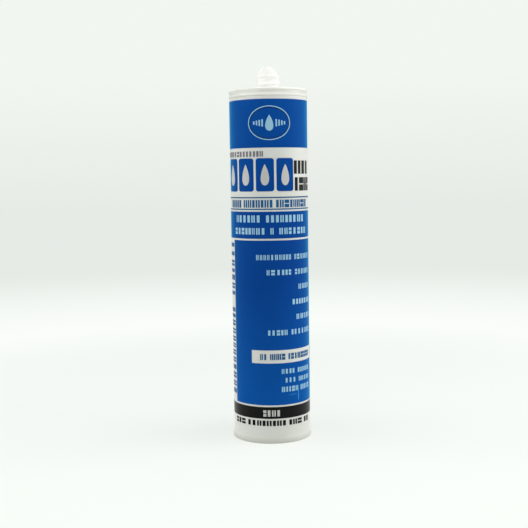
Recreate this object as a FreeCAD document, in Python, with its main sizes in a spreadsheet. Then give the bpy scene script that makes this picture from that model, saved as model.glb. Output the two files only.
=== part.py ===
import FreeCAD, Part
import math
import os

import Sketcher

# A 300 ml class sealant cartridge that stands on its open rear end, with its
# threaded neck up.  Origin: middle of the rear edge, on the surface it stands on.
# +Z runs up the barrel, and the printed front looks along -Y.  Millimetres.

doc = FreeCAD.newDocument("caulk_tube")
sheet = doc.addObject("Spreadsheet::Sheet", "sizes")

# Driving sizes: alias, value, what it is
driving_sizes = [
    ("barrel_diameter", 49.0, "outside of the printed barrel"),
    ("barrel_wall", 1.3, "moulded wall of the barrel"),
    ("tube_length", 220.5, "rear edge to the front of the rim"),
    ("flare_stand", 0.65, "thickened rear edge, out from the barrel"),
    ("flare_land", 1.2, "straight part of the rear edge"),
    ("flare_length", 5.0, "rear edge with its taper"),
    ("bore_lead", 0.4, "radial lead-in at the rear of the bore"),
    ("bore_lead_length", 2.0, "length of that lead-in"),
    ("rim_stand", 0.45, "front rim, out from the barrel"),
    ("rim_height", 1.3, "front rim, along the barrel"),
    ("rim_width", 2.1, "top of the rim, across its ring"),
    ("rim_groove_depth", 0.3, "groove under the rim, into the barrel"),
    ("rim_groove_height", 1.6, "groove under the rim"),
    ("bead_stand", 0.35, "ring bead under that groove, out from the barrel"),
    ("bead_height", 1.9, "ring bead with the slope above it"),
    ("bead_land", 0.5, "straight side of the bead under that slope"),
    ("bead_groove_depth", 0.2, "fine groove under the bead, into the barrel"),
    ("bead_groove_height", 0.6, "fine groove under the bead"),
    ("front_recess", 2.0, "front wall below the top of the rim"),
    ("front_wall", 2.0, "front wall"),
    ("neck_diameter", 14.6, "neck over its thread"),
    ("neck_length", 14.6, "top of the rim to the end of the tip"),
    ("neck_bore_diameter", 10.6, "inside of the neck"),
    ("tip_length", 6.6, "closed tip above the thread"),
    ("tip_flat_diameter", 4.4, "flat end of the tip"),
    ("tip_bulge_radius", 14.0, "curve of the tip's side"),
    ("tip_wall", 1.4, "wall of the closed tip"),
    ("edge_round", 0.5, "rounding of the outer edges"),
    ("rim_round", 0.8, "rounding of the rim's top edge"),
    ("bead_round", 0.3, "rounding of the ring bead and the rim's other edges"),
    ("neck_fillet", 1.0, "fillet at the foot of the neck"),
    ("plunger_depth", 26.0, "rear edge of the barrel to the rear of the plunger"),
    ("plunger_length", 18.0, "plunger, along the barrel"),
    ("plunger_face", 1.8, "front wall of the plunger"),
    ("plunger_wall", 1.4, "skirt of the plunger"),
    ("plunger_clearance", 0.6, "bore to the skirt, radial"),
    ("plunger_bevel", 2.0, "bevelled front edge of the plunger"),
    ("lip_clearance", 0.05, "bore to the sealing lips, radial"),
    ("lip_height", 1.6, "sealing lip"),
    ("lip_taper", 0.8, "slope from the lip to the skirt, along the barrel"),
    ("rib_thickness", 1.2, "ribs inside the plunger"),
    ("rib_height", 3.0, "ribs, along the barrel"),
    ("hub_diameter", 9.0, "hub where the ribs meet"),
    ("seal_clearance", 0.05, "sealant to the walls around it"),
    ("print_thickness", 0.08, "ink on the barrel"),
    ("print_lift", 0.08, "ink off the barrel, so that the two never cut into each other"),
    ("black_band_bottom", 15.8, "rear edge to the black band"),
    ("black_band_height", 7.4, "black band"),
    ("band_spacing", 1.15, "bare line on each side of the large blue panel"),
    ("main_panel_start", -27.6, "left edge of that panel, round the barrel from the front"),
    ("side_strip_width", 13.3, "bare strip beside that panel, round the barrel"),
    ("window_rise", 26.4, "lower edge of the panel to the white box in it"),
    ("window_height", 8.25, "white box"),
    ("window_start", -12.8, "left edge of the white box, round the barrel from the front"),
    ("window_width", 47.5, "white box, round the barrel"),
    ("blue_band_height", 16.6, "blue band"),
    ("lower_rule_rise", 1.1, "blue band to the thin line above it"),
    ("rule_pitch", 7.15, "from thin line to thin line"),
    ("rule_height", 0.75, "each thin line"),
    ("title_rise", 3.4, "upper thin line to the title blocks"),
    ("title_height", 20.2, "title blocks"),
    ("title_start", -33.8, "left edge of the first block, round the barrel from the front"),
    ("title_width", 11.3, "one title block, round the barrel"),
    ("title_pitch", 12.8, "from block to block, round the barrel"),
    ("top_panel_rise", 6.4, "title blocks to the top blue panel"),
    ("top_panel_height", 29.4, "top blue panel"),
    ("top_margin", 1.7, "top blue panel to the groove under the bead"),
]

for row, (alias, value, meaning) in enumerate(driving_sizes, start=1):
    sheet.set(f"A{row}", meaning)
    sheet.set(f"B{row}", str(value))
    sheet.setAlias(f"B{row}", alias)
doc.recompute()

rib_count = 8
title_block_count = 4
front_turn = -90  # the printed front looks along -Y
same_place = 0.001  # an edge this near to a stated ring is that ring

# Places that several pieces share, written once as expressions on the sheet
barrel_radius = "sizes.barrel_diameter / 2"
bore_radius = "sizes.barrel_diameter / 2 - sizes.barrel_wall"
rim_bottom = "sizes.tube_length - sizes.rim_height"
bead_top = f"{rim_bottom} - sizes.rim_groove_height"
bead_bottom = f"{bead_top} - sizes.bead_height"
bead_slope_start = f"{bead_bottom} + sizes.bead_land"
print_limit = f"{bead_bottom} - sizes.bead_groove_height"
front_face = "sizes.tube_length - sizes.front_recess"
inner_front = f"{front_face} - sizes.front_wall"
tip_end = "sizes.tube_length + sizes.neck_length"
thread_end = f"{tip_end} - sizes.tip_length"
neck_radius = "sizes.neck_diameter / 2"
neck_bore_radius = "sizes.neck_bore_diameter / 2"
plunger_front = "sizes.plunger_depth + sizes.plunger_length"
flare_radius = f"{barrel_radius} + sizes.flare_stand"
rim_radius = f"{barrel_radius} + sizes.rim_stand"
rim_inner_radius = f"{rim_radius} - sizes.rim_width"
rim_groove_radius = f"{barrel_radius} - sizes.rim_groove_depth"
bead_radius = f"{barrel_radius} + sizes.bead_stand"
bead_groove_radius = f"{barrel_radius} - sizes.bead_groove_depth"
tip_flat_radius = "sizes.tip_flat_diameter / 2"
tip_inner_radius = f"{tip_flat_radius} - sizes.tip_wall / 2"
tip_inner_end = f"{tip_end} - sizes.tip_wall"

# The print is set out down from the bead and up from the rear edge; the large
# blue panel takes the length between
top_panel_bottom = f"{print_limit} - sizes.top_margin - sizes.top_panel_height"
title_bottom = f"{top_panel_bottom} - sizes.top_panel_rise - sizes.title_height"
upper_rule_bottom = f"{title_bottom} - sizes.title_rise - sizes.rule_height"
lower_rule_bottom = f"{upper_rule_bottom} - sizes.rule_pitch"
blue_band_bottom = f"{lower_rule_bottom} - sizes.lower_rule_rise - sizes.blue_band_height"
main_panel_top = f"{blue_band_bottom} - sizes.band_spacing"
main_panel_bottom = "sizes.black_band_bottom + sizes.black_band_height + sizes.band_spacing"
print_inner_radius = f"{barrel_radius} + sizes.print_lift"
print_radius = f"{print_inner_radius} + sizes.print_thickness"


def worth(expression):
    """Value of an expression on the sheet."""
    return float(sheet.evalExpression(expression.replace("sizes.", "")))


def origin_plane(body, role):
    for feature in body.Origin.OriginFeatures:
        if feature.Role == role:
            return feature
    raise LookupError(role)


def tie(sketch, kind, name, geometry, expression):
    """Hold a corner or an arc to an expression on the sheet."""
    value = worth(expression)
    if kind == "Radius":
        number = sketch.addConstraint(Sketcher.Constraint(kind, geometry, value))
    elif abs(value) < 1e-9:
        axis = -2 if kind == "DistanceX" else -1
        sketch.addConstraint(Sketcher.Constraint("PointOnObject", geometry, 1, axis))
        return
    else:
        number = sketch.addConstraint(Sketcher.Constraint(kind, -1, 1, geometry, 1, value))
    sketch.renameConstraint(number, name)
    sketch.setExpression(f"Constraints.{name}", expression)


def bulge(start, end, radius):
    """Arc from one point to the next, curving away from the axis."""
    chord = end - start
    middle = (start + end) * 0.5
    inward = FreeCAD.Vector(-chord.y, chord.x, 0).normalize()
    reach = math.sqrt(radius**2 - (chord.Length / 2) ** 2)
    circle = Part.Circle(middle + inward * reach, FreeCAD.Vector(0, 0, 1), radius)
    return Part.ArcOfCircle(circle, circle.parameter(start), circle.parameter(end))


def half_section(body, name, corners, arcs=None):
    """Closed outline in the XZ plane from (radius, height) expressions, anticlockwise."""
    arcs = arcs or {}
    sketch = body.newObject("Sketcher::SketchObject", name)
    sketch.AttachmentSupport = [(origin_plane(body, "XZ_Plane"), "")]
    sketch.MapMode = "FlatFace"
    points = [FreeCAD.Vector(worth(radius), worth(height), 0) for radius, height in corners]
    count = len(points)
    for number, start in enumerate(points):
        end = points[(number + 1) % count]
        if number in arcs:
            sketch.addGeometry(bulge(start, end, worth(arcs[number])))
        else:
            sketch.addGeometry(Part.LineSegment(start, end))
    for number in range(count):
        follower = (number + 1) % count
        sketch.addConstraint(Sketcher.Constraint("Coincident", number, 2, follower, 1))
    for number, (radius, height) in enumerate(corners):
        tie(sketch, "DistanceX", f"radius_{number}", number, radius)
        tie(sketch, "DistanceY", f"height_{number}", number, height)
        if number in arcs:
            tie(sketch, "Radius", f"bulge_{number}", number, arcs[number])
    return sketch


def revolve(body, kind, name, corners, arcs=None):
    """Turn a half section about the barrel's axis, as a Revolution or a Groove."""
    sketch = half_section(body, f"{name}_outline", corners, arcs)
    feature = body.newObject(f"PartDesign::{kind}", name)
    feature.Profile = sketch
    feature.ReferenceAxis = (sketch, ["V_Axis"])
    feature.Angle = 360
    sketch.Visibility = False
    doc.recompute()
    return feature


def rings_at(shape, places):
    """Names of the circular edges at these (radius, height) expressions."""
    names = []
    for number, edge in enumerate(shape.Edges, start=1):
        if not isinstance(edge.Curve, Part.Circle):
            continue
        for radius, height in places:
            near_radius = abs(edge.Curve.Radius - worth(radius)) < same_place
            near_height = abs(edge.Curve.Center.z - worth(height)) < same_place
            if near_radius and near_height:
                names.append(f"Edge{number}")
    return names


def round_off(body, name, places, size):
    """Fillet the circular edges at these places."""
    base = body.Tip
    fillet = body.newObject("PartDesign::Fillet", name)
    fillet.Base = (base, rings_at(base.Shape, places))
    fillet.setExpression("Radius", size)
    doc.recompute()
    return fillet


# Cartridge body: barrel, rim, front wall and closed neck, moulded as one piece
def make_cartridge_body():
    body = doc.addObject("PartDesign::Body", "cartridge_body")
    revolve(
        body,
        "Revolution",
        "outside",
        [
            ("0", "0"),
            (flare_radius, "0"),
            (flare_radius, "sizes.flare_land"),
            (barrel_radius, "sizes.flare_length"),
            (barrel_radius, print_limit),
            (bead_groove_radius, print_limit),
            (bead_groove_radius, bead_bottom),
            (bead_radius, bead_bottom),
            (bead_radius, bead_slope_start),
            (rim_groove_radius, bead_top),
            (rim_groove_radius, rim_bottom),
            (rim_radius, rim_bottom),
            (rim_radius, "sizes.tube_length"),
            (rim_inner_radius, "sizes.tube_length"),
            (rim_inner_radius, front_face),
            (neck_radius, front_face),
            (neck_radius, thread_end),
            (tip_flat_radius, tip_end),
            ("0", tip_end),
        ],
        arcs={16: "sizes.tip_bulge_radius"},
    )
    # the bore is open at the rear and runs on into the closed neck
    revolve(
        body,
        "Groove",
        "bore",
        [
            ("0", "0"),
            (f"{bore_radius} + sizes.bore_lead", "0"),
            (bore_radius, "sizes.bore_lead_length"),
            (bore_radius, inner_front),
            (neck_bore_radius, inner_front),
            (neck_bore_radius, thread_end),
            (tip_inner_radius, tip_inner_end),
            ("0", tip_inner_end),
        ],
    )
    round_off(
        body,
        "outer_edges",
        [
            (flare_radius, "0"),
            (tip_flat_radius, tip_end),
        ],
        "sizes.edge_round",
    )
    round_off(body, "rim_edge", [(rim_radius, "sizes.tube_length")], "sizes.rim_round")
    round_off(
        body,
        "bead_edges",
        [
            (bead_radius, bead_bottom),
            (bead_radius, bead_slope_start),
            (rim_radius, rim_bottom),
            (rim_inner_radius, "sizes.tube_length"),
        ],
        "sizes.bead_round",
    )
    round_off(body, "neck_foot", [(neck_radius, front_face)], "sizes.neck_fillet")
    return body


# Plunger: a cup that slides in the bore on two sealing lips, ribbed behind its face
def make_plunger():
    body = doc.addObject("PartDesign::Body", "plunger")
    rear = "sizes.plunger_depth"
    skirt_radius = f"{bore_radius} - sizes.plunger_clearance"
    lip_radius = f"{bore_radius} - sizes.lip_clearance"
    inner_radius = f"{skirt_radius} - sizes.plunger_wall"
    face_back = f"{plunger_front} - sizes.plunger_face"
    bevel_start = f"{plunger_front} - sizes.plunger_bevel"
    front_lip_bottom = f"{bevel_start} - sizes.lip_height"
    revolve(
        body,
        "Revolution",
        "cup",
        [
            (inner_radius, rear),
            (lip_radius, rear),
            (lip_radius, f"{rear} + sizes.lip_height"),
            (skirt_radius, f"{rear} + sizes.lip_height + sizes.lip_taper"),
            (skirt_radius, f"{front_lip_bottom} - sizes.lip_taper"),
            (lip_radius, front_lip_bottom),
            (lip_radius, bevel_start),
            (f"{lip_radius} - sizes.plunger_bevel", plunger_front),
            ("0", plunger_front),
            ("0", f"{face_back} - sizes.rib_height"),
            ("sizes.hub_diameter / 2", f"{face_back} - sizes.rib_height"),
            ("sizes.hub_diameter / 2", face_back),
            (f"{inner_radius} - sizes.plunger_bevel / 2", face_back),
            (inner_radius, f"{face_back} - sizes.plunger_bevel / 2"),
        ],
    )
    # one rib from the hub to the skirt, then the rest round the axis
    # the rib reaches half into the hub and the skirt, so that they join
    corners = [
        ("sizes.hub_diameter / 4", f"{face_back} - sizes.rib_height"),
        (f"{inner_radius} + sizes.plunger_wall / 2", f"{face_back} - sizes.rib_height"),
        (f"{inner_radius} + sizes.plunger_wall / 2", f"{face_back} - sizes.plunger_bevel / 2"),
        (f"{inner_radius} - sizes.plunger_bevel / 2", f"{face_back} + sizes.plunger_face / 2"),
        ("sizes.hub_diameter / 4", f"{face_back} + sizes.plunger_face / 2"),
    ]
    sketch = half_section(body, "rib_outline", corners)
    sketch.Visibility = False
    rib = body.newObject("PartDesign::Pad", "rib")
    rib.Profile = sketch
    rib.Midplane = True
    rib.setExpression("Length", "sizes.rib_thickness")
    doc.recompute()
    ribs = body.newObject("PartDesign::PolarPattern", "ribs")
    ribs.Originals = [rib]
    ribs.Axis = (sketch, ["V_Axis"])
    ribs.Angle = 360
    ribs.Occurrences = rib_count
    body.Tip = ribs
    doc.recompute()
    return body


# Sealant: fills the bore from the plunger's face to the closed tip
def make_sealant():
    body = doc.addObject("PartDesign::Body", "sealant")
    gap = "sizes.seal_clearance"
    revolve(
        body,
        "Revolution",
        "fill",
        [
            ("0", f"{plunger_front} + {gap}"),
            (f"{bore_radius} - {gap}", f"{plunger_front} + {gap}"),
            (f"{bore_radius} - {gap}", f"{inner_front} - {gap}"),
            (f"{neck_bore_radius} - {gap}", f"{inner_front} - {gap}"),
            (f"{neck_bore_radius} - {gap}", f"{thread_end} - {gap}"),
            (f"{tip_inner_radius} - {gap}", f"{tip_inner_end} - {gap} * 2"),
            ("0", f"{tip_inner_end} - {gap} * 2"),
        ],
    )
    return body


def turn_of(arc):
    """Degrees round the barrel for a length along its surface."""
    return f"({arc}) / ({barrel_radius}) * 180 / pi"


def wedge(name, radius, bottom, height, start="0", sweep="360"):
    """Sector of a disc round the barrel's axis, from a start angle off the front."""
    sector = doc.addObject("Part::Cylinder", name)
    sector.setExpression("Radius", radius)
    sector.setExpression("Height", height)
    sector.setExpression("Angle", sweep)
    turn = FreeCAD.Rotation(FreeCAD.Vector(0, 0, 1), worth(start) + front_turn)
    sector.Placement = FreeCAD.Placement(FreeCAD.Vector(0, 0, worth(bottom)), turn)
    sector.setExpression("Placement.Base.z", bottom)
    sector.setExpression("Placement.Rotation.Angle", f"{start} + ({front_turn})")
    return sector


def cut(name, base, tool):
    difference = doc.addObject("Part::Cut", name)
    difference.Base = base
    difference.Tool = tool
    return difference


def ink(name, bottom, height, start="0", sweep="360"):
    """A field of ink on the barrel, as thick as the print."""
    outside = wedge(f"{name}_outside", print_radius, bottom, height, start, sweep)
    return cut(name, outside, print_core)


def group(name, members):
    compound = doc.addObject("Part::Compound", name)
    compound.Links = members
    return compound


# Printed fields, each a thin layer that lies on the barrel
print_core = wedge("print_core", print_inner_radius, "0", "sizes.tube_length")


def make_main_panel():
    """Large blue panel with the white box left bare in it."""
    field = ink(
        "panel_field",
        main_panel_bottom,
        f"{main_panel_top} - ({main_panel_bottom})",
        turn_of("sizes.main_panel_start"),
        f"360 - {turn_of('sizes.side_strip_width')}",
    )
    window = wedge(
        "white_box",
        f"{print_radius} + sizes.print_thickness",
        f"{main_panel_bottom} + sizes.window_rise",
        "sizes.window_height",
        turn_of("sizes.window_start"),
        turn_of("sizes.window_width"),
    )
    return cut("main_blue_panel", field, window)


def make_title_blocks():
    blocks = []
    for number in range(title_block_count):
        start = turn_of(f"sizes.title_start + {number} * sizes.title_pitch")
        width = turn_of("sizes.title_width")
        name = f"title_block_{number + 1}"
        blocks.append(ink(name, title_bottom, "sizes.title_height", start, width))
    return group("title_blocks", blocks)


def make_rule_lines():
    lines = [
        ink("lower_rule", lower_rule_bottom, "sizes.rule_height"),
        ink("upper_rule", upper_rule_bottom, "sizes.rule_height"),
    ]
    return group("rule_lines", lines)


pieces = [
    make_cartridge_body(),
    make_plunger(),
    make_sealant(),
    ink("top_blue_panel", top_panel_bottom, "sizes.top_panel_height"),
    make_title_blocks(),
    make_rule_lines(),
    ink("blue_band", blue_band_bottom, "sizes.blue_band_height"),
    make_main_panel(),
    ink("black_band", "sizes.black_band_bottom", "sizes.black_band_height"),
]
doc.recompute()

for item in doc.Objects:
    if "Invalid" in item.State or "Error" in item.State:
        raise RuntimeError(f"{item.Name} did not recompute: {item.State}")

os.makedirs("parts", exist_ok=True)
for piece in pieces:
    piece.Label = piece.Name
    if piece.Shape.isNull() or not piece.Shape.isValid():
        raise RuntimeError(f"{piece.Label} has no valid shape")
    piece.Shape.exportStep(os.path.join("parts", f"{piece.Label}.step"))
    box = piece.Shape.BoundBox
    print(
        f"{piece.Label}: {len(piece.Shape.Solids)} solid, {piece.Shape.Volume:.1f} mm3, "
        f"z {box.ZMin:.2f} to {box.ZMax:.2f}, x {box.XMin:.2f} to {box.XMax:.2f}"
    )
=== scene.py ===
# Sealant cartridge standing on a pale floor: moulded barrel, printed fields, plunger and paste
import math
import random

import bmesh
import bpy
from mathutils import Matrix, Vector


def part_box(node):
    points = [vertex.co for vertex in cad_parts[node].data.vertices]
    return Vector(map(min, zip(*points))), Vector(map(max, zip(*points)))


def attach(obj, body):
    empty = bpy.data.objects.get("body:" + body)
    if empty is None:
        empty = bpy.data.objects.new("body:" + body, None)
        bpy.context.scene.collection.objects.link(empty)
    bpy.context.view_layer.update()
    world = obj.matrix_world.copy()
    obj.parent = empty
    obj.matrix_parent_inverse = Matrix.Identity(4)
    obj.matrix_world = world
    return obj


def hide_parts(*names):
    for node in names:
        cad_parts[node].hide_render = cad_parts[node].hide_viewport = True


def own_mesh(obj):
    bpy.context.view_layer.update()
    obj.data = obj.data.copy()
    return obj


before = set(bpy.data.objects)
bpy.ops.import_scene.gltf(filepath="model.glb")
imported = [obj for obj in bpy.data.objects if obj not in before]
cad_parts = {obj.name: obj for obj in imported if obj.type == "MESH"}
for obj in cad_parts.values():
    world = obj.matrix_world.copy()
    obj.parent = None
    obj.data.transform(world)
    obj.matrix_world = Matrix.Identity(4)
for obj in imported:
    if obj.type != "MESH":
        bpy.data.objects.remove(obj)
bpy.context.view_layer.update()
scene = bpy.context.scene
mm = 0.001
barrelRadius = 24.5  # mm, bare plastic under the print
columnsAround = 192
print("frame loaded:", ", ".join(sorted(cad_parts)))


# Node helpers
def addNode(tree, kind, inputs=None, **settings):
    node = tree.nodes.new(kind)
    node.location = (180 * (len(tree.nodes) % 12), -220 * (len(tree.nodes) // 12))
    for name, value in settings.items():
        setattr(node, name, value)
    for key, value in (inputs or {}).items():
        if isinstance(value, bpy.types.NodeSocket):
            tree.links.new(value, node.inputs[key])
        else:
            node.inputs[key].default_value = value
    return node


def calc(tree, operation, *values):
    return addNode(tree, "ShaderNodeMath", dict(enumerate(values)), operation=operation).outputs[0]


def calcVector(tree, operation, *values):
    return addNode(tree, "ShaderNodeVectorMath", dict(enumerate(values)), operation=operation).outputs[0]


def stored(tree, name, kind):
    return addNode(tree, "GeometryNodeInputNamedAttribute", {0: name}, data_type=kind).outputs[0]


def moved(tree, geometry, place):
    return addNode(tree, "GeometryNodeSetPosition", {"Geometry": geometry, "Position": place}).outputs[0]


def closeSeams(tree, geometry):
    values = {"Geometry": geometry, "Distance": 1e-6}
    return addNode(tree, "GeometryNodeMergeByDistance", values).outputs[0]


def startTree(name, inputs):
    tree = bpy.data.node_groups.new(name, "GeometryNodeTree")
    tree.interface.new_socket("Geometry", in_out="INPUT", socket_type="NodeSocketGeometry")
    for label, kind in inputs.items():
        tree.interface.new_socket(label, in_out="INPUT", socket_type="NodeSocket" + kind)
    tree.interface.new_socket("Geometry", in_out="OUTPUT", socket_type="NodeSocketGeometry")
    return tree, addNode(tree, "NodeGroupInput").outputs


# Every tree ends in real geometry that carries its material
def endTree(tree, geometry, material):
    real = addNode(tree, "GeometryNodeRealizeInstances", {0: geometry}).outputs[0]
    painted = addNode(tree, "GeometryNodeSetMaterial", {0: real, "Material": material}).outputs[0]
    addNode(tree, "NodeGroupOutput", {0: painted})
    return tree


# Runs a tree on an object, keeps the plain mesh and takes the modifier off again
def runTree(obj, tree, values):
    modifier = obj.modifiers.new(tree.name, "NODES")
    modifier.node_group = tree
    for item in tree.interface.items_tree:
        if item.in_out == "INPUT" and item.name in values:
            modifier[item.identifier] = values[item.name]
    bpy.context.view_layer.update()
    depsgraph = bpy.context.evaluated_depsgraph_get()
    mesh = bpy.data.meshes.new_from_object(obj.evaluated_get(depsgraph), depsgraph=depsgraph)
    obj.modifiers.remove(modifier)
    obj.data = mesh
    mesh.name = obj.name
    extras = [layer.name for layer in mesh.attributes if not layer.is_internal and not layer.is_required]
    for name in extras:
        if name not in ("sharp_face", "sharp_edge", "material_index", "UVMap"):
            mesh.attributes.remove(mesh.attributes[name])
    work = bmesh.new()
    work.from_mesh(mesh)
    bmesh.ops.remove_doubles(work, verts=work.verts, dist=1e-7)
    bmesh.ops.dissolve_degenerate(work, edges=work.edges, dist=1e-8)
    bmesh.ops.recalc_face_normals(work, faces=work.faces)
    work.to_mesh(mesh)
    work.free()
    mesh.shade_smooth()
    mesh.set_sharp_from_angle(angle=math.radians(35))
    return obj


def newObject(name, vertices, edges=(), faces=()):
    mesh = bpy.data.meshes.new(name)
    mesh.from_pydata(vertices, edges, faces)
    obj = bpy.data.objects.new(name, mesh)
    scene.collection.objects.link(obj)
    return obj


# Materials
def startMaterial(name):
    material = bpy.data.materials.new(name)
    material.use_nodes = True
    tree = material.node_tree
    shader = tree.nodes["Principled BSDF"]
    place = addNode(tree, "ShaderNodeTexCoord").outputs["Object"]
    return material, tree, shader, place


def stretched(tree, place, scale):
    return addNode(tree, "ShaderNodeMapping", {"Vector": place, "Scale": scale}).outputs[0]


def noise(tree, place, scale, detail=3.0, roughness=0.5):
    values = {"Vector": place, "Scale": scale, "Detail": detail, "Roughness": roughness}
    return addNode(tree, "ShaderNodeTexNoise", values).outputs[0]


def remap(tree, value, low, high, toLow, toHigh):
    values = {0: value, 1: low, 2: high, 3: toLow, 4: toHigh}
    return addNode(tree, "ShaderNodeMapRange", values).outputs[0]


def eased(tree, value, low, high, toLow=0.0, toHigh=1.0):
    values = {0: value, 1: low, 2: high, 3: toLow, 4: toHigh}
    return addNode(tree, "ShaderNodeMapRange", values, interpolation_type="SMOOTHSTEP").outputs[0]


def mixColours(tree, share, first, second):
    node = addNode(tree, "ShaderNodeMix", {0: share}, data_type="RGBA")
    for socket, value in ((node.inputs[6], first), (node.inputs[7], second)):
        if isinstance(value, bpy.types.NodeSocket):
            tree.links.new(value, socket)
        else:
            socket.default_value = (*value, 1)
    return node.outputs[2]


def bumped(tree, shader, height, strength, distance):
    values = {"Height": height, "Strength": strength, "Distance": distance}
    tree.links.new(addNode(tree, "ShaderNodeBump", values).outputs[0], shader.inputs["Normal"])


# Moulded polyethylene: milky white, faint flow streaks up the barrel, fine skin, scuffs in the gloss.
# A darker colour low down is painted shade on the standing edge, and a paler colour on the neck is painted
# light, as if light shone through its thin wall (heights in m)
def mouldedPlastic(name, look):
    material, tree, shader, place = startMaterial(name)
    clouds = noise(tree, place, look["cloudScale"], 4)
    streaks = noise(tree, stretched(tree, place, (260, 260, 14)), 1, 3)
    skin = noise(tree, place, look["skinScale"], 5, 0.6)
    scuffs = noise(tree, stretched(tree, place, (900, 900, 120)), 1, 5, 0.7)
    cloudy = mixColours(tree, remap(tree, clouds, 0.35, 0.65, 0, 1), look["colour"], look["shade"])
    streakMix = remap(tree, streaks, 0.3, 0.75, 0, look["streakShare"])
    base = mixColours(tree, streakMix, cloudy, look["shade"])
    height = addNode(tree, "ShaderNodeSeparateXYZ", {0: place}).outputs[2]
    # Painted shade: darker towards the standing edge
    if "foot" in look:
        base = mixColours(tree, remap(tree, height, *look["footFade"], 0, 1), base, look["foot"])
    # Painted light: the neck is paler than the barrel, as if lit through its thin wall
    if "neck" in look:
        aboveRim = remap(tree, height, *look["neckLightFade"], 0, 1)
        belowTip = remap(tree, height, *look["tipLightFade"], 1, look["tipLightShare"])
        base = mixColours(tree, calc(tree, "MULTIPLY", aboveRim, belowTip), base, look["neck"])
    tree.links.new(base, shader.inputs["Base Color"])
    shader.inputs["Subsurface Weight"].default_value = look["soak"]
    shader.inputs["Subsurface Scale"].default_value = 0.0025
    shader.inputs["Subsurface Radius"].default_value = (1.0, 0.95, 0.85)
    evenGloss = remap(tree, clouds, 0.3, 0.7, *look["roughness"])
    gloss = calc(tree, "ADD", evenGloss, remap(tree, scuffs, 0.55, 0.8, 0, 0.12))
    tree.links.new(gloss, shader.inputs["Roughness"])
    shader.inputs["Specular IOR Level"].default_value = look["specular"]
    relief = calc(tree, "ADD", skin, calc(tree, "MULTIPLY", streaks, 0.6))
    bumped(tree, shader, relief, look["bump"], 0.00004)
    return material


# Screen-printed ink: one dense colour, slightly uneven film, fine orange peel, rubbed gloss
def printedInk(name, look):
    material, tree, shader, place = startMaterial(name)
    film = noise(tree, stretched(tree, place, (45, 45, 20)), 1, 4, 0.55)
    screenGrain = noise(tree, place, 2600, 2)
    rubbed = noise(tree, stretched(tree, place, (500, 500, 90)), 1, 5, 0.7)
    body = mixColours(tree, remap(tree, film, 0.3, 0.7, 0, 1), look["colour"], look["shade"])
    grain = mixColours(tree, remap(tree, screenGrain, 0.55, 0.8, 0, 0.35), body, look["light"])
    height = addNode(tree, "ShaderNodeSeparateXYZ", {0: place}).outputs[2]
    # Painted light: the ink turns lighter near both ends of the barrel, low down as a painted reflection of
    # the bright floor and high up as painted light from above
    low = remap(tree, height, 0.100, 0.030, 0, look.get("floorReflectionShare", 0.0))
    high = remap(tree, height, 0.150, 0.190, 0, look.get("topLightShare", 0.0))
    withPaintedLight = mixColours(tree, calc(tree, "ADD", low, high), grain, look["light"])
    tree.links.new(withPaintedLight, shader.inputs["Base Color"])
    evenGloss = remap(tree, film, 0.3, 0.7, *look["roughness"])
    gloss = calc(tree, "ADD", evenGloss, remap(tree, rubbed, 0.55, 0.8, 0, 0.14))
    tree.links.new(gloss, shader.inputs["Roughness"])
    shader.inputs["Specular IOR Level"].default_value = look["specular"]
    shader.inputs["Sheen Weight"].default_value = look.get("sheen", 0.0)
    shader.inputs["Sheen Roughness"].default_value = 0.35
    shader.inputs["Sheen Tint"].default_value = (*look.get("sheenTint", (1, 1, 1)), 1)
    relief = calc(tree, "ADD", screenGrain, calc(tree, "MULTIPLY", film, 0.8))
    bumped(tree, shader, relief, look["bump"], 0.00002)
    return material


whitePlastic = mouldedPlastic("whitePolyethylene", {
    "colour": (0.80, 0.797, 0.755),
    "shade": (0.745, 0.747, 0.70),
    "roughness": (0.30, 0.42),
    "specular": 0.30,
    "cloudScale": 38.0,
    "skinScale": 1500.0,
    "streakShare": 0.35,
    "foot": (0.60, 0.60, 0.55),  # painted contact shade where the standing edge meets the floor
    "footFade": (0.0038, 0.0006),
    # Painted light: a paler neck, as if light shone through its thin wall
    "neck": (0.90, 0.893, 0.86),
    "neckLightFade": (0.2188, 0.2225),
    "tipLightFade": (0.2275, 0.2300),
    "tipLightShare": 0.4,  # how much of the neck's painted light the tip keeps
    "soak": 0.35,
    "bump": 0.16,
})
plungerPlastic = mouldedPlastic("plungerPolyethylene", {
    "colour": (0.79, 0.79, 0.77),
    "shade": (0.72, 0.725, 0.71),
    "roughness": (0.42, 0.55),
    "specular": 0.35,
    "cloudScale": 60.0,
    "skinScale": 1200.0,
    "streakShare": 0.2,
    "soak": 0.2,
    "bump": 0.25,
})
pasteFinish = mouldedPlastic("sealantPaste", {
    "colour": (0.82, 0.82, 0.78),
    "shade": (0.76, 0.76, 0.72),
    "roughness": (0.25, 0.4),
    "specular": 0.5,
    "cloudScale": 25.0,
    "skinScale": 300.0,
    "streakShare": 0.5,
    "soak": 0.2,
    "bump": 0.3,
})
blueInk = printedInk("blueInk", {
    "colour": (0.0038, 0.058, 0.298),
    "shade": (0.0034, 0.052, 0.274),
    "light": (0.0045, 0.094, 0.400),
    "roughness": (0.30, 0.40),
    "specular": 0.01,
    "sheen": 1.0,
    "sheenTint": (0.05, 0.54, 0.88),
    # Painted reflection of the floor low down and painted top light high up
    "floorReflectionShare": 0.8,
    "topLightShare": 0.3,
    "bump": 0.10,
})
blackInk = printedInk("blackInk", {
    "colour": (0.004, 0.005, 0.004),
    "shade": (0.006, 0.006, 0.006),
    "light": (0.014, 0.014, 0.012),
    "roughness": (0.28, 0.40),
    "specular": 0.09,
    "sheen": 0.18,
    "bump": 0.10,
})
slateInk = printedInk("slateInk", {
    "colour": (0.018, 0.120, 0.280),
    "shade": (0.016, 0.105, 0.255),
    "light": (0.028, 0.150, 0.320),
    "roughness": (0.3, 0.42),
    "specular": 0.08,
    "bump": 0.10,
})
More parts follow.
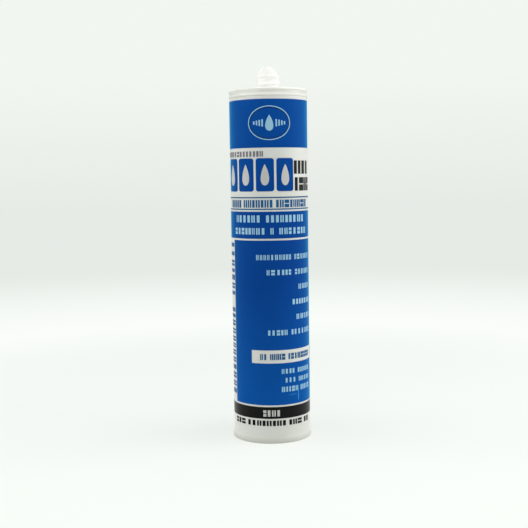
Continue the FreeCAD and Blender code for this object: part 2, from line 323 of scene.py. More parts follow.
greyInk = printedInk("greyInk", {
    "colour": (0.170, 0.165, 0.185),
    "shade": (0.200, 0.190, 0.210),
    "light": (0.270, 0.260, 0.280),
    "roughness": (0.35, 0.45),
    "specular": 0.3,
    "bump": 0.10,
})
rubbedInk = printedInk("rubbedInk", {
    "colour": (0.110, 0.500, 0.880),
    "shade": (0.080, 0.420, 0.820),
    "light": (0.200, 0.580, 0.900),
    "roughness": (0.45, 0.55),
    "specular": 0.1,
    "bump": 0.20,
})
paleInk = printedInk("paleInk", {
    "colour": (0.330, 0.580, 0.740),
    "shade": (0.290, 0.540, 0.705),
    "light": (0.450, 0.680, 0.800),
    "roughness": (0.3, 0.42),
    "specular": 0.3,
    "bump": 0.10,
})
navyInk = printedInk("navyInk", {
    "colour": (0.002, 0.014, 0.060),
    "shade": (0.003, 0.018, 0.075),
    "light": (0.010, 0.040, 0.120),
    "roughness": (0.26, 0.36),
    "specular": 0.3,
    "bump": 0.10,
})
print("materials made")


# Turned pieces
# Rounds the corners of a half section given as (radius, height, rounding) in mm,
# and sets extra points beside each corner so that flat faces keep their shading
def roundedSection(corners, arcPoints=5, guard=0.25, longest=14.0):
    runs = []
    for number, (radius, height, rounding) in enumerate(corners):
        here = Vector((radius, height))
        if not rounding:
            runs.append([here])
            continue
        toLast = (Vector(corners[number - 1][:2]) - here).normalized()
        toNext = (Vector(corners[number + 1][:2]) - here).normalized()
        half = toLast.angle(toNext) / 2
        centre = here + (toLast + toNext).normalized() * rounding / math.sin(half)
        start = here + toLast * rounding / math.tan(half) - centre
        end = here + toNext * rounding / math.tan(half) - centre
        turn = start.angle_signed(end)
        runs.append([
            centre + Matrix.Rotation(-turn * step / arcPoints, 2) @ start
            for step in range(arcPoints + 1)
        ])
    points = list(runs[0])
    for run in runs[1:]:
        start, end = points[-1], run[0]
        length = (end - start).length
        if length > 3 * guard:
            count = max(1, math.ceil(length / longest))
            stops = [guard / length] + [step / count for step in range(1, count)] + [1 - guard / length]
            points += [start.lerp(end, stop) for stop in stops]
        points += run
    return points


# Turns a section (radius along X, height along Z) about Z,
# and cuts the screw groove where "threadShare" allows it
def makeTurnedTree():
    tree, given = startTree("turnedWall", {
        "Columns": "Int", "Thread Pitch": "Float", "Thread Depth": "Float", "Thread Start": "Float",
        "Material": "Material",
    })
    count = addNode(tree, "GeometryNodeAttributeDomainSize", {0: given["Geometry"]}).outputs["Point Count"]
    sheet = addNode(tree, "GeometryNodeMeshGrid", {
        "Size X": 1.0, "Size Y": 1.0,
        "Vertices X": calc(tree, "ADD", given["Columns"], 1), "Vertices Y": count,
    }).outputs["Mesh"]
    index = addNode(tree, "GeometryNodeInputIndex").outputs[0]
    along = calc(tree, "MODULO", index, count)
    around = calc(tree, "FLOOR", calc(tree, "DIVIDE", index, count))
    turn = calc(tree, "DIVIDE", around, given["Columns"])
    position = addNode(tree, "GeometryNodeInputPosition").outputs[0]
    section = addNode(tree, "GeometryNodeSampleIndex", {
        "Geometry": given["Geometry"], "Value": position, "Index": along,
    }, data_type="FLOAT_VECTOR").outputs[0]
    share = addNode(tree, "GeometryNodeSampleIndex", {
        "Geometry": given["Geometry"], "Value": stored(tree, "threadShare", "FLOAT"), "Index": along,
    }, data_type="FLOAT").outputs[0]
    radius, _, height = addNode(tree, "ShaderNodeSeparateXYZ", {0: section}).outputs
    aboveStart = calc(tree, "SUBTRACT", height, given["Thread Start"])
    climbed = calc(tree, "DIVIDE", aboveStart, given["Thread Pitch"])
    phase = calc(tree, "FRACT", calc(tree, "ADD", calc(tree, "SUBTRACT", climbed, turn), 100.0))
    # The crest rises and falls over these shares of a turn
    rising = eased(tree, phase, 0.29, 0.40)
    falling = eased(tree, phase, 0.62, 0.73, 1.0, 0.0)
    root = calc(tree, "SUBTRACT", 1.0, calc(tree, "MULTIPLY", rising, falling))
    groove = calc(tree, "MULTIPLY", root, calc(tree, "MULTIPLY", share, given["Thread Depth"]))
    cutRadius = calc(tree, "SUBTRACT", radius, groove)
    angle = calc(tree, "MULTIPLY", turn, math.tau)
    place = addNode(tree, "ShaderNodeCombineXYZ", {
        0: calc(tree, "MULTIPLY", cutRadius, calc(tree, "COSINE", angle)),
        1: calc(tree, "MULTIPLY", cutRadius, calc(tree, "SINE", angle)),
        2: height,
    }).outputs[0]
    turned = moved(tree, sheet, place)
    return endTree(tree, closeSeams(tree, turned), given["Material"])


turnedTree = makeTurnedTree()


def turnedPiece(name, points, material, threadShares=None, thread=None):
    thread = thread or {"pitch": 1.0, "depth": 0.0, "start": 0.0}
    vertices = [(point.x * mm, 0, point.y * mm) for point in points]
    obj = newObject(name, vertices, [(number, number + 1) for number in range(len(points) - 1)])
    shares = obj.data.attributes.new("threadShare", "FLOAT", "POINT")
    shares.data.foreach_set("value", threadShares or [0.0] * len(points))
    return runTree(obj, turnedTree, {
        "Columns": columnsAround, "Thread Pitch": thread["pitch"] * mm,
        "Thread Depth": thread["depth"] * mm, "Thread Start": thread["start"] * mm,
        "Material": material,
    })


cartridgeSizes = {
    "flareRadius": 25.15, "flareLand": 1.2, "flareTop": 5.0,
    "boreRadius": 23.2, "boreLead": 0.4, "boreLeadTop": 2.0,
    "beadGroove": (24.3, 215.1), "bead": (24.85, 215.7), "beadLand": 0.5, "rimGroove": (24.2, 217.6),
    "rimRadius": 24.95, "rimInner": 22.85, "rimBottom": 219.2, "rimTop": 220.5, "rimRound": 0.8,
    "frontFace": 218.5, "innerFront": 216.5,
    "neckRadius": 7.3, "neckBore": 5.3, "neckTop": 228.5, "neckFoot": 1.0,
    "tipTop": 235.1, "tipInnerTop": 233.6, "tipFlat": 2.2, "tipBulge": 14.0, "tipWall": 1.4,
    "thread": {
        "pitch": 5.0, "depth": 0.22, "start": 222.8, "from": 220.4, "to": 228.5, "fade": 0.7, "step": 0.08,
    },
}


# Points on the bulged arc from the neck's top to the flat of the tip
def tipArc(start, end, bulge, count=14):
    middle = (start + end) / 2
    across = (end - start).orthogonal().normalized()
    if across.x > 0:
        across = -across
    centre = middle + across * math.sqrt(bulge ** 2 - (end - start).length_squared / 4)
    first = start - centre
    turn = first.angle_signed(end - centre)
    return [centre + Matrix.Rotation(-turn * step / count, 2) @ first for step in range(count + 1)]


def makeCartridge(sizes):
    neckTop = Vector((sizes["neckRadius"], sizes["neckTop"]))
    innerArc = tipArc(
        Vector((sizes["neckBore"], sizes["neckTop"])),
        Vector((sizes["tipFlat"] - sizes["tipWall"] / 2, sizes["tipInnerTop"])),
        sizes["tipBulge"],
    )
    inside = roundedSection([
        (sizes["neckBore"], sizes["neckTop"] - 0.3, 0),
        (sizes["neckBore"], sizes["innerFront"], 0.3),
        (sizes["boreRadius"], sizes["innerFront"], 0.4),
        (sizes["boreRadius"], sizes["boreLeadTop"], 0.4),
        (sizes["boreRadius"] + sizes["boreLead"], 0, 0.15),
        (sizes["flareRadius"], 0, 0.5),
        (sizes["flareRadius"], sizes["flareLand"], 0.8),
        (barrelRadius, sizes["flareTop"], 1.5),
        (barrelRadius, sizes["beadGroove"][1], 0.1),
        (sizes["beadGroove"][0], sizes["beadGroove"][1], 0.08),
        (sizes["beadGroove"][0], sizes["bead"][1], 0.08),
        (sizes["bead"][0], sizes["bead"][1], 0.3),
        (sizes["bead"][0], sizes["bead"][1] + sizes["beadLand"], 0.7),
        (sizes["rimGroove"][0], sizes["rimGroove"][1], 0.3),
        (sizes["rimGroove"][0], sizes["rimBottom"], 0.12),
        (sizes["rimRadius"], sizes["rimBottom"], 0.3),
        (sizes["rimRadius"], sizes["rimTop"], sizes["rimRound"]),
        (sizes["rimInner"], sizes["rimTop"], 0.35),
        (sizes["rimInner"], sizes["frontFace"], 0.3),
        (sizes["neckRadius"], sizes["frontFace"], sizes["neckFoot"]),
        (sizes["neckRadius"], sizes["thread"]["from"] - 0.2, 0),
    ])
    thread = sizes["thread"]
    rows = round((thread["to"] - thread["from"]) / thread["step"])
    neck = [Vector((sizes["neckRadius"], thread["from"] + row * thread["step"])) for row in range(rows + 1)]
    outerArc = tipArc(neckTop, Vector((sizes["tipFlat"], sizes["tipTop"])), sizes["tipBulge"], 22)
    tip = outerArc[:-1] + roundedSection([
        (*outerArc[-2], 0),
        (sizes["tipFlat"], sizes["tipTop"], 0.15),
        (0, sizes["tipTop"], 0),
    ])[1:]
    points = [Vector((0, sizes["tipInnerTop"]))] + innerArc[::-1] + inside + neck + tip
    shares = []
    for point in points:
        edge = min(point.y - thread["from"], thread["to"] - point.y) / thread["fade"]
        onNeck = abs(point.x - sizes["neckRadius"]) < 0.001
        shares.append(max(0.0, min(1.0, edge)) if onNeck else 0.0)
    return turnedPiece("cartridge", points, whitePlastic, shares, thread)


cartridge = makeCartridge(cartridgeSizes)
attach(cartridge, "cartridge")
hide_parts("cartridge_body")
print("cartridge turned:", len(cartridge.data.polygons), "faces")


# The paste is two pieces: what fills the barrel is pressed flat, what fills the neck stays
sealantSizes = {
    "radius": 23.15, "bottom": 44.05, "front": 216.5,
    "neckRadius": 5.25, "neckTop": 228.5, "tipTop": 233.55, "tipFlat": 1.6,
}


def makeSealant(sizes):
    barrelPaste = turnedPiece("barrelPaste", roundedSection([
        (0, sizes["bottom"], 0),
        (sizes["radius"], sizes["bottom"], 0.3),
        (sizes["radius"], sizes["front"], 0.3),
        (0, sizes["front"], 0),
    ]), pasteFinish)
    neckPaste = turnedPiece("neckPaste", roundedSection([
        (0, sizes["front"], 0),
        (sizes["neckRadius"], sizes["front"], 0.1),
        (sizes["neckRadius"], sizes["neckTop"], 0.8),
        (sizes["tipFlat"], sizes["tipTop"], 0.3),
        (0, sizes["tipTop"], 0),
    ]), pasteFinish)
    return barrelPaste, neckPaste


barrelPaste, neckPaste = makeSealant(sealantSizes)
for paste in (barrelPaste, neckPaste):
    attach(paste, "cartridge")
    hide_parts("sealant")
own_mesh(barrelPaste)
print("paste made")

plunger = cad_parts["plunger"]
for part in plunger.material_slots:
    part.material = plungerPlastic
print("plunger finished")


# Print on the barrel
# Bends flat work (X along the barrel's arc, Y up) round the barrel and gives it the thickness of ink
def makeWrapTree():
    tree, given = startTree("wrapOnBarrel", {
        "Barrel Radius": "Float", "Lift": "Float", "Thickness": "Float", "Material": "Material",
    })
    position = addNode(tree, "GeometryNodeInputPosition").outputs[0]
    arc, height, _ = addNode(tree, "ShaderNodeSeparateXYZ", {0: position}).outputs
    angle = calc(tree, "DIVIDE", arc, given["Barrel Radius"])
    level = calc(tree, "ADD", given["Barrel Radius"], given["Lift"])
    sine, cosine = calc(tree, "SINE", angle), calc(tree, "COSINE", angle)
    place = addNode(tree, "ShaderNodeCombineXYZ", {
        0: calc(tree, "MULTIPLY", level, sine),
        1: calc(tree, "MULTIPLY", calc(tree, "MULTIPLY", level, cosine), -1.0),
        2: height,
    }).outputs[0]
    wrapped = moved(tree, given["Geometry"], place)
    outwards = calcVector(tree, "NORMALIZE", calcVector(tree, "MULTIPLY", position, (1.0, 1.0, 0.0)))
    raised = addNode(tree, "GeometryNodeExtrudeMesh", {
        "Mesh": wrapped, "Offset": outwards, "Offset Scale": given["Thickness"], "Individual": False,
    }, mode="FACES").outputs[0]
    under = addNode(tree, "GeometryNodeFlipFaces", {0: wrapped}).outputs[0]
    joined = addNode(tree, "GeometryNodeJoinGeometry")
    tree.links.new(raised, joined.inputs[0])
    tree.links.new(under, joined.inputs[0])
    return endTree(tree, closeSeams(tree, joined.outputs[0]), given["Material"])


wrapTree = makeWrapTree()


# Sets a round-cornered bar of its own size ("barSize") on every point, then wraps them all
def makeBarsTree():
    tree, given = startTree("printedBars", {
        "Columns": "Int", "Rounding": "Float",
        "Barrel Radius": "Float", "Lift": "Float", "Thickness": "Float", "Material": "Material",
    })
    cornerFrom = 0.6  # share of the half width where the corner columns begin
    grid = addNode(tree, "GeometryNodeMeshGrid", {
        "Size X": 2.0, "Size Y": 2.0, "Vertices X": given["Columns"], "Vertices Y": 2,
    })
    position = addNode(tree, "GeometryNodeInputPosition").outputs[0]
    unit = addNode(tree, "GeometryNodeStoreNamedAttribute", {
        "Geometry": grid.outputs["Mesh"], "Name": "unitPlace", "Value": position,
    }, data_type="FLOAT_VECTOR", domain="POINT").outputs[0]
    bars = addNode(tree, "GeometryNodeInstanceOnPoints", {
        "Points": given["Geometry"], "Instance": unit,
    }).outputs[0]
    real = addNode(tree, "GeometryNodeRealizeInstances", {0: bars}).outputs[0]
    unitPlace, barSize = stored(tree, "unitPlace", "FLOAT_VECTOR"), stored(tree, "barSize", "FLOAT_VECTOR")
    centre = calcVector(tree, "SUBTRACT", position, unitPlace)
    across, up, _ = addNode(tree, "ShaderNodeSeparateXYZ", {0: unitPlace}).outputs
    width, tall, _ = addNode(tree, "ShaderNodeSeparateXYZ", {0: barSize}).outputs
    middleX, middleY, _ = addNode(tree, "ShaderNodeSeparateXYZ", {0: centre}).outputs
    halfWide, halfTall = calc(tree, "MULTIPLY", width, 0.5), calc(tree, "MULTIPLY", tall, 0.5)
    rounding = calc(tree, "MINIMUM", given["Rounding"], calc(tree, "MINIMUM", halfWide, halfTall))
    side, size = calc(tree, "SIGN", across), calc(tree, "ABSOLUTE", across)
    reach = calc(tree, "MULTIPLY", side, calc(tree, "MINIMUM", calc(tree, "DIVIDE", size, cornerFrom), 1.0))
    bend = remap(tree, size, cornerFrom, 1.0, 0.0, math.pi / 2)
    cornerWide = calc(tree, "MULTIPLY", calc(tree, "SINE", bend), rounding)
    cornerTall = calc(tree, "MULTIPLY", calc(tree, "COSINE", bend), rounding)
    straightWide = calc(tree, "MULTIPLY", reach, calc(tree, "SUBTRACT", halfWide, rounding))
    straightTall = calc(tree, "SUBTRACT", halfTall, rounding)
    x = calc(tree, "ADD", straightWide, calc(tree, "MULTIPLY", side, cornerWide))
    y = calc(tree, "MULTIPLY", up, calc(tree, "ADD", straightTall, cornerTall))
    place = addNode(tree, "ShaderNodeCombineXYZ", {
        0: calc(tree, "ADD", middleX, x), 1: calc(tree, "ADD", middleY, y),
    }).outputs[0]
    shaped = moved(tree, real, place)
    wrap = addNode(tree, "GeometryNodeGroup", node_tree=wrapTree)
    tree.links.new(shaped, wrap.inputs["Geometry"])
    for name in ("Barrel Radius", "Lift", "Thickness", "Material"):
        tree.links.new(given[name], wrap.inputs[name])
    return endTree(tree, wrap.outputs[0], given["Material"])


barsTree = makeBarsTree()

inkFilm = {"thickness": 0.08, "overInk": 0.05, "overInkThickness": 0.07}  # mm


def arcOf(angle):
    return math.radians(angle) * barrelRadius


def wrapValues(material, overInk=False):
    return {
        "Barrel Radius": barrelRadius * mm,
        "Lift": (inkFilm["overInk"] if overInk else 0.0) * mm,
        "Thickness": (inkFilm["overInkThickness"] if overInk else inkFilm["thickness"]) * mm,
        "Material": material,
    }


def onBarrel(obj, slot, *nodes):
    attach(obj, "cartridge")
    if nodes:
        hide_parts(*nodes)
    return obj


# One field of colour from rectangles (start and sweep in degrees, bottom and top in mm),
# with an optional window of the same four values left bare in it
def fieldPiece(name, bands, material, window=None):
    work = bmesh.new()
    for start, sweep, bottom, top in bands:
        count = math.ceil(sweep / 360 * columnsAround)
        angles = {start + sweep * step / count for step in range(count + 1)}
        heights = {bottom, top}
        if window:
            angles |= {window[0], window[0] + window[1]}
            heights |= {window[2], window[3]}
        angles, heights = sorted(angles), sorted(heights)
        rows = [[work.verts.new((arcOf(a) * mm, h * mm, 0)) for a in angles] for h in heights]
        for row in range(len(heights) - 1):
            for column in range(len(angles) - 1):
                a, h = angles[column] + 1e-6, heights[row] + 1e-6
                if window and window[0] < a < window[0] + window[1] and window[2] < h < window[3]:
                    continue
                low, high = rows[row], rows[row + 1]
                work.faces.new((low[column], low[column + 1], high[column + 1], high[column]))
    obj = newObject(name, [])
    loose = [v for v in work.verts if not v.link_faces]
    bmesh.ops.delete(work, geom=loose, context="VERTS")
    work.to_mesh(obj.data)
    work.free()
    return runTree(obj, wrapTree, wrapValues(material))


def heightsOf(node):
    low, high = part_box(node)
    return low.z / mm, high.z / mm


def wholeTurn(node):
    return [(-180, 360, *heightsOf(node))]


ruleHeight = 0.75  # mm
ruleLow, ruleHigh = heightsOf("rule_lines")
printedFields = {
    "topPanelInk": {"node": "top_blue_panel", "slot": "blue_ink", "bands": wholeTurn("top_blue_panel")},
    "blueBandInk": {"node": "blue_band", "slot": "blue_ink", "bands": wholeTurn("blue_band")},
    "mainPanelInk": {
        "node": "main_blue_panel", "slot": "blue_ink",
        "bands": [(-64.55, 328.9, *heightsOf("main_blue_panel"))],
        "window": (-29.93, 111.08, 50.75, 59.0),
    },
    "blackBandInk": {"node": "black_band", "slot": "black_ink", "bands": wholeTurn("black_band")},
    "ruleInk": {
        "node": "rule_lines", "slot": "black_ink", "ink": slateInk,
        "bands": [(-180, 360, ruleLow, ruleLow + ruleHeight), (-180, 360, ruleHigh - ruleHeight, ruleHigh)],
    },
}
slotInks = {"blue_ink": blueInk, "black_ink": blackInk}
for name, field in printedFields.items():
    ink = field.get("ink", slotInks[field["slot"]])
    piece = fieldPiece(name, field["bands"], ink, field.get("window"))
    onBarrel(piece, field["slot"], field["node"])
print("fields printed")


# A piece made of bars, each given in mm as (place along the arc, place in height, width, height)
def barsPiece(name, bars, material, overInk=False, rounding=0.14, columns=11):
    obj = newObject(name, [(x * mm, y * mm, 0) for x, y, _, _ in bars])
    sizes = obj.data.attributes.new("barSize", "FLOAT_VECTOR", "POINT")
    sizes.data.foreach_set("vector", [v for _, _, w, h in bars for v in (w * mm, h * mm, 0.0)])
    values = {"Columns": columns, "Rounding": rounding * mm, **wrapValues(material, overInk)}
    return runTree(obj, barsTree, values)


titleBlocks = {"start": -79.05, "pitch": 29.93, "width": 26.43, "count": 4, "rounding": 1.6}
titleLow, titleHigh = heightsOf("title_blocks")
titleMiddles = [
    arcOf(titleBlocks["start"] + titleBlocks["width"] / 2 + titleBlocks["pitch"] * number)
    for number in range(titleBlocks["count"])
]
titleWidth = arcOf(titleBlocks["width"])
titleHeight = titleHigh - titleLow
onBarrel(barsPiece("titleBlocksInk", [
    (middle, (titleLow + titleHigh) / 2, titleWidth, titleHeight) for middle in titleMiddles
], blueInk, rounding=titleBlocks["rounding"], columns=61), "blue_ink", "title_blocks")


# A row of small plain bars in groups: some whole and narrow, some split upright, some split across
def rowBars(row, draw):
    start, end = arcOf(row["from"]), arcOf(row["to"])
    groupGap, slit = row.get("gap", 0.8), 0.15
    advances = [[draw.uniform(0.7, 1.25) for _ in range(group)] for group in row["groups"]]
    unit = (end - start) / (sum(map(sum, advances)) + groupGap * (len(advances) - 1))
    middle, height = (row["bottom"] + row["top"]) / 2, row["top"] - row["bottom"]
    bars, x = [], start
    for group in advances:
        for advance in group:
            centre, width = x + advance * unit / 2, row.get("fill", 0.76) * advance * unit
            gap = slit * unit
            halfWide, halfTall = (width - gap) / 2, (height - gap) / 2
            kind = draw.random()
            if kind < 0.5 and advance > 0.8:
                apart = (halfWide + gap) / 2
                bars += [(centre + side * apart, middle, halfWide, height) for side in (-1, 1)]
            elif kind < 0.75 and advance > 0.8:
                bars += [(centre, middle + side * (height + gap) / 4, width, halfTall) for side in (-1, 1)]
            else:
                bars.append((centre, middle, min(width, 0.5 * unit), height))
            x += advance * unit
        x += groupGap * unit
    return bars


smallPrint = {
    "paleBars": {"ink": paleInk, "slot": "white_polyethylene", "overInk": True, "rows": [
        {"from": -57.5, "to": 58.4, "bottom": 138.4, "top": 142.8, "groups": [6, 9], "fill": 0.68},
        {"from": -61.0, "to": 65.0, "bottom": 131.0, "top": 135.0, "groups": [8, 1, 7], "fill": 0.7},
        {"from": -21.5, "to": 73.5, "bottom": 115.2, "top": 118.5, "groups": [10, 7], "fill": 0.66},
        {"from": -6.2, "to": 73.5, "bottom": 105.8, "top": 109.1, "groups": [6, 6], "fill": 0.68},
        {"from": 44.0, "to": 74.5, "bottom": 96.4, "top": 99.7, "groups": [4], "fill": 0.66},
        {"from": 32.2, "to": 75.5, "bottom": 87.1, "top": 90.4, "groups": [7], "fill": 0.64},
        {"from": 39.2, "to": 75.5, "bottom": 77.6, "top": 80.9, "groups": [5], "fill": 0.66},
        {"from": -5.0, "to": 75.5, "bottom": 68.3, "top": 71.6, "groups": [5, 7]},
        {"from": 14.2, "to": 71.5, "bottom": 44.0, "top": 47.0, "groups": [4, 5]},
        {"from": 19.2, "to": 71.5, "bottom": 38.3, "top": 41.3, "groups": [3, 5]},
        {"from": 13.9, "to": 71.5, "bottom": 32.5, "top": 35.8, "groups": [5, 5]},
    ]},
    "whiteBars": {"ink": whitePlastic, "slot": "white_polyethylene", "overInk": True, "rows": [
        {"from": -14.2, "to": 12.2, "bottom": 17.2, "top": 21.2, "groups": [4], "fill": 0.7},
    ]},
    "slateBars": {"ink": slateInk, "slot": "black_ink", "rows": [
        {"from": -71.0, "to": 68.0, "bottom": 147.5, "top": 152.2,
         "groups": [4, 7, 8], "gap": 0.45, "fill": 0.84},
        {"from": -17.2, "to": 71.5, "bottom": 52.9, "top": 56.7,
         "groups": [2, 4, 8], "gap": 0.6, "fill": 0.84},
    ]},
    "greyBars": {"ink": greyInk, "slot": "black_ink", "rows": [
        {"from": -84.0, "to": -7.4, "bottom": 178.6, "top": 181.9, "groups": [13]},
    ]},
    "blackBars": {"ink": blackInk, "slot": "black_ink", "rows": [
        {"from": -67.0, "to": 68.0, "bottom": 11.2, "top": 14.6,
         "groups": [3, 8, 3, 2], "gap": 0.4, "fill": 0.84},
        {"from": 38.0, "to": 76.0, "bottom": 167.9, "top": 176.1, "groups": [3], "fill": 0.9},
        {"from": 38.0, "to": 82.0, "bottom": 157.5, "top": 165.8, "groups": [4], "fill": 0.9},
    ]},
}
for name, look in smallPrint.items():
    draw = random.Random(7)
    bars = [bar for row in look["rows"] for bar in rowBars(row, draw)]
    onBarrel(barsPiece(name, bars, look["ink"], look.get("overInk", False)), look["slot"])

# The bare strip beside the large panel has the same bars, turned on their sides and set up the barrel
sideStrip = {
    "from": -83.0, "to": -66.2, "bottom": 28.3, "top": 126.5, "groups": [12, 7], "gap": 1.4, "fill": 0.62,
}


def stripBars(strip):
    draw = random.Random(11)
    flat = rowBars({
        "from": math.degrees(strip["bottom"] / barrelRadius),
        "to": math.degrees(strip["top"] / barrelRadius),
        "bottom": -arcOf(strip["to"]), "top": -arcOf(strip["from"]),
        "groups": strip["groups"], "gap": strip["gap"], "fill": strip["fill"],
    }, draw)
    return [(-across, along, tall, wide) for along, across, wide, tall in flat]


onBarrel(barsPiece("sideStripBars", stripBars(sideStrip), slateInk), "black_ink")
print("small print set")


# Motifs
# Fills a shape given as rows (height, half width), with enough columns to follow the barrel
def addRows(work, middle, rows, columns):
    lines = []
    for height, half in rows:
        places = [middle + half * (2 * step / columns - 1) for step in range(columns + 1)]
        lines.append([work.verts.new((place * mm, height * mm, 0)) for place in places])
    for low, high in zip(lines, lines[1:]):
        for step in range(columns):
            work.faces.new((low[step], low[step + 1], high[step + 1], high[step]))


# A drop: round below, drawn out to a point above
def dropRows(bottom, top, half, count=26):
    rows = []
    for step in range(count + 1):
        share = (1 - math.cos(math.pi * step / count)) / 2
        rounded = math.sqrt(max(0.0, 1 - (1 - min(share / 0.3, 1)) ** 2))
        taper = 1 if share < 0.3 else math.cos((share - 0.3) / 0.7 * math.pi / 2) ** 0.85
        rows.append((bottom + (top - bottom) * share, half * rounded * taper + 1e-4))
    return rows


def addRing(work, middle, height, halfWide, halfTall, stroke, count=96):
    loops = []
    for inset in (0, stroke):
        loops.append([
            work.verts.new((
                (middle + (halfWide - inset) * math.cos(math.tau * step / count)) * mm,
                (height + (halfTall - inset) * math.sin(math.tau * step / count)) * mm, 0,
            )) for step in range(count)
        ])
    for step in range(count):
        after = (step + 1) % count
        work.faces.new((loops[0][step], loops[0][after], loops[1][after], loops[1][step]))


def motifPiece(name, draw, material, overInk=True):
    obj = newObject(name, [])
    work = bmesh.new()
    draw(work)
    bmesh.ops.remove_doubles(work, verts=work.verts, dist=1e-7)
    work.to_mesh(obj.data)
    work.free()
    return runTree(obj, wrapTree, wrapValues(material, overInk))


titleDrops = {"half": 2.6, "bottom": 3.6, "top": 3.6}


def drawTitleDrops(work):
    rows = dropRows(titleLow + titleDrops["bottom"], titleHigh - titleDrops["top"], titleDrops["half"])
    for middle in titleMiddles:
        addRows(work, middle, rows, 6)


badge = {
    "angle": 1.3, "middle": 198.9, "halfWide": 13.4, "halfTall": 10.4, "stroke": 0.55,
    "shadeGap": 0.25, "shadeStroke": 0.5, "drop": (2.5, 9.6),
    "bars": {"count": 4, "first": 4.3, "pitch": 1.75, "width": 0.95, "tall": 4.4, "shrink": 0.8},
}


def drawBadge(work):
    middle = arcOf(badge["angle"])
    addRing(work, middle, badge["middle"], badge["halfWide"], badge["halfTall"], badge["stroke"])
    half, tall = badge["drop"]
    addRows(work, middle, dropRows(badge["middle"] - tall / 2, badge["middle"] + tall / 2, half), 8)


def drawBadgeShade(work):
    inset = badge["stroke"] + badge["shadeGap"]
    halfWide, halfTall = badge["halfWide"] - inset, badge["halfTall"] - inset
    addRing(work, arcOf(badge["angle"]), badge["middle"], halfWide, halfTall, badge["shadeStroke"])


def badgeBars(look):
    middle = arcOf(badge["angle"])
    return [
        (middle + side * (look["first"] + look["pitch"] * step), badge["middle"],
         look["width"], look["tall"] - look["shrink"] * step)
        for side in (-1, 1) for step in range(look["count"])
    ]


onBarrel(motifPiece("titleDrops", drawTitleDrops, whitePlastic), "white_polyethylene")
onBarrel(motifPiece("badgeMotif", drawBadge, paleInk), "white_polyethylene")
onBarrel(motifPiece("badgeShade", drawBadgeShade, navyInk), "black_ink")
onBarrel(barsPiece("badgeBars", badgeBars(badge["bars"]), paleInk, overInk=True), "white_polyethylene")
print("motifs set")

# Ink rubbed off low on the right: one upright scratch with a faint one across it
scratches = {
    "upright": {"angle": 43.0, "from": 26.0, "to": 36.0, "half": 0.28, "lean": 0.4},
    "across": {"angle": 33.0, "height": 30.2, "length": 6.8, "half": 0.08},
}


# Full in the middle of a line and thin at both ends
def tapered(share):
    return math.sin(math.pi * (0.04 + 0.92 * share))


def drawScratches(work):
    line, count = scratches["upright"], 24
    middle = arcOf(line["angle"])
    sides = []
    for step in range(count + 1):
        share = step / count
        half = line["half"] * tapered(share) * (0.75 + 0.25 * math.sin(9 * share))
        x = middle + line["lean"] * (share - 0.5) + 0.08 * math.sin(5 * share)
        z = line["from"] + (line["to"] - line["from"]) * share
        sides.append([work.verts.new(((x + side * half) * mm, z * mm, 0)) for side in (-1, 1)])
    for low, high in zip(sides, sides[1:]):
        work.faces.new((low[0], low[1], high[1], high[0]))
    line, sides = scratches["across"], []
    middle = arcOf(line["angle"])
    for step in range(count + 1):
        share = step / count
        half = line["half"] * tapered(share)
        x = middle + line["length"] * (share - 0.5)
        z = line["height"] + 0.25 * math.sin(3 * share)
        sides.append([work.verts.new((x * mm, (z + side * half) * mm, 0)) for side in (-1, 1)])
    for left, right in zip(sides, sides[1:]):
        work.faces.new((left[0], right[0], right[1], left[1]))


onBarrel(motifPiece("scratchMarks", drawScratches, rubbedInk), "blue_ink")
print("scratches set")


# Floor, light and camera
stageLook = {
    "radius": 4.0,
    "paper": (0.895, 0.925, 0.89),
    "glow": (0.96, 0.99, 0.955),
    "nearGlow": (0.92, 0.96, 0.91),
    "lift": 0.5,  # share of glow beside the cartridge, painted light that lifts its shadow
    # Painted shade: floor glow and backdrop darken to this colour at the horizon
    "horizonShade": (0.79, 0.83, 0.79),
    "backdrop": (0.885, 0.925, 0.88),
    "fade": (0.20, 0.50),  # m from the cartridge, where the lit floor gives way to the glow
    "sweep": (0.40, 1.20),  # m, where that glow runs out into the backdrop
}


def makeFloor(look):
    work = bmesh.new()
    bmesh.ops.create_circle(work, cap_ends=True, segments=96, radius=look["radius"])
    floor = newObject("floor", [])
    work.to_mesh(floor.data)
    work.free()
    material = bpy.data.materials.new("paperFloor")
    material.use_nodes = True
    tree = material.node_tree
    tree.nodes.remove(tree.nodes["Principled BSDF"])
    place = addNode(tree, "ShaderNodeTexCoord").outputs["Object"]
    distance = addNode(tree, "ShaderNodeVectorMath", {0: place}, operation="LENGTH").outputs["Value"]
    far = eased(tree, distance, *look["fade"], look["lift"])
    paper = mixColours(tree, noise(tree, place, 6, 3), look["paper"], [0.985 * c for c in look["paper"]])
    near = addNode(tree, "ShaderNodeBsdfDiffuse", {"Color": paper}).outputs[0]
    # Painted shade: far from the cartridge the glow darkens to the horizon colour
    run = eased(tree, distance, *look["sweep"])
    around = mixColours(tree, far, look["nearGlow"], look["glow"])
    glowColour = mixColours(tree, run, around, look["horizonShade"])
    glow = addNode(tree, "ShaderNodeEmission", {"Color": glowColour}).outputs[0]
    mixed = addNode(tree, "ShaderNodeMixShader", {0: far, 1: near, 2: glow}).outputs[0]
    tree.links.new(mixed, tree.nodes["Material Output"].inputs["Surface"])
    floor.data.materials.append(material)


makeFloor(stageLook)

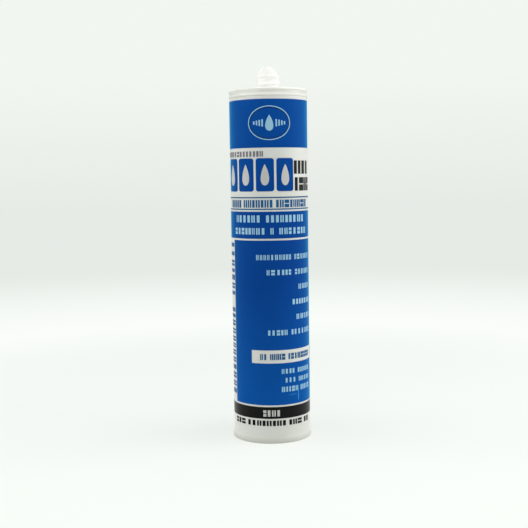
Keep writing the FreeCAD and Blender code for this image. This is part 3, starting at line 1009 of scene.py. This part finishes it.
lightLook = {
    "world": {"front": 0.03, "sides": 0.475, "tint": (0.97, 1.0, 0.985)},
    "boxes": {
        "leftBox": {"at": (-0.95, -0.05, 0.45), "size": (0.9, 1.1), "power": 3.2},
        "rightBox": {"at": (0.95, -0.02, 0.45), "size": (0.9, 1.1), "power": 5.3},
        "topBox": {"at": (0.0, -0.18, 0.80), "size": (0.8, 0.8), "power": 4.0},
        # Two narrow beams on the neck
        "leftBeam": {
            "at": (-0.24, -0.38, 0.27), "size": (0.02, 0.02), "power": 0.00028,
            "aim": 0.2230, "spread": 4.5,
        },
        "rightBeam": {
            "at": (0.24, -0.38, 0.27), "size": (0.02, 0.02), "power": 0.00021,
            "aim": 0.2215, "spread": 4.5,
        },
    },
}


def makeWorld(look, stage):
    world = bpy.data.worlds.new("softRoom")
    scene.world = world
    world.use_nodes = True
    tree = world.node_tree
    tree.nodes.clear()
    direction = addNode(tree, "ShaderNodeTexCoord").outputs["Generated"]
    _, ahead, upwards = addNode(tree, "ShaderNodeSeparateXYZ", {0: direction}).outputs
    level = remap(tree, ahead, -0.9, -0.2, look["front"], look["sides"])
    roomValues = {"Color": (*look["tint"], 1), "Strength": level}
    room = addNode(tree, "ShaderNodeBackground", roomValues).outputs[0]
    # Painted shade: the backdrop the camera sees is darker down at the horizon
    rise = remap(tree, upwards, -0.03, 0.11, 0, 1)
    backdrop = mixColours(tree, rise, stage["horizonShade"], stage["backdrop"])
    seen = addNode(tree, "ShaderNodeBackground", {"Color": backdrop}).outputs[0]
    camera = addNode(tree, "ShaderNodeLightPath").outputs["Is Camera Ray"]
    mixed = addNode(tree, "ShaderNodeMixShader", {0: camera, 1: room, 2: seen}).outputs[0]
    addNode(tree, "ShaderNodeOutputWorld", {"Surface": mixed})


# Each lamp looks at a height on the cartridge's axis, its middle unless "aim" says another
def makeLamp(name, box):
    lamp = bpy.data.lights.new(name, "AREA")
    lamp.shape = "RECTANGLE"
    lamp.size, lamp.size_y = box["size"]
    lamp.energy = box["power"]
    lamp.spread = math.radians(box.get("spread", 180))
    holder = bpy.data.objects.new(name, lamp)
    holder.visible_camera = False
    holder.location = box["at"]
    towards = Vector((0, 0, box.get("aim", 0.11))) - Vector(box["at"])
    holder.rotation_euler = towards.to_track_quat("-Z", "Y").to_euler()
    scene.collection.objects.link(holder)


makeWorld(lightLook["world"], stageLook)
for name, box in lightLook["boxes"].items():
    makeLamp(name, box)

cameraLook = {
    "at": (0.0, -0.59859, 0.16452),  # m
    "yaw": -0.38041, "pitch": 5.13638, "roll": -0.81268,  # degrees
    "lens": 63.914,  # mm
}


def makeCamera(look):
    yaw, pitch, roll = (math.radians(look[key]) for key in ("yaw", "pitch", "roll"))
    forward = Vector((math.sin(yaw) * math.cos(pitch), math.cos(yaw) * math.cos(pitch), -math.sin(pitch)))
    right = Vector((math.cos(yaw), -math.sin(yaw), 0))
    up = right.cross(forward)
    across = math.cos(roll) * right + math.sin(roll) * up
    upright = math.cos(roll) * up - math.sin(roll) * right
    data = bpy.data.cameras.new("camera")
    data.sensor_fit = "HORIZONTAL"
    data.sensor_width = 36.0
    data.lens = look["lens"]
    holder = bpy.data.objects.new("camera", data)
    matrix = Matrix((across, upright, -forward)).transposed().to_4x4()
    matrix.translation = look["at"]
    holder.matrix_world = matrix
    scene.collection.objects.link(holder)
    scene.camera = holder


makeCamera(cameraLook)
scene.view_settings.view_transform = "Standard"
print("floor, light and camera set")
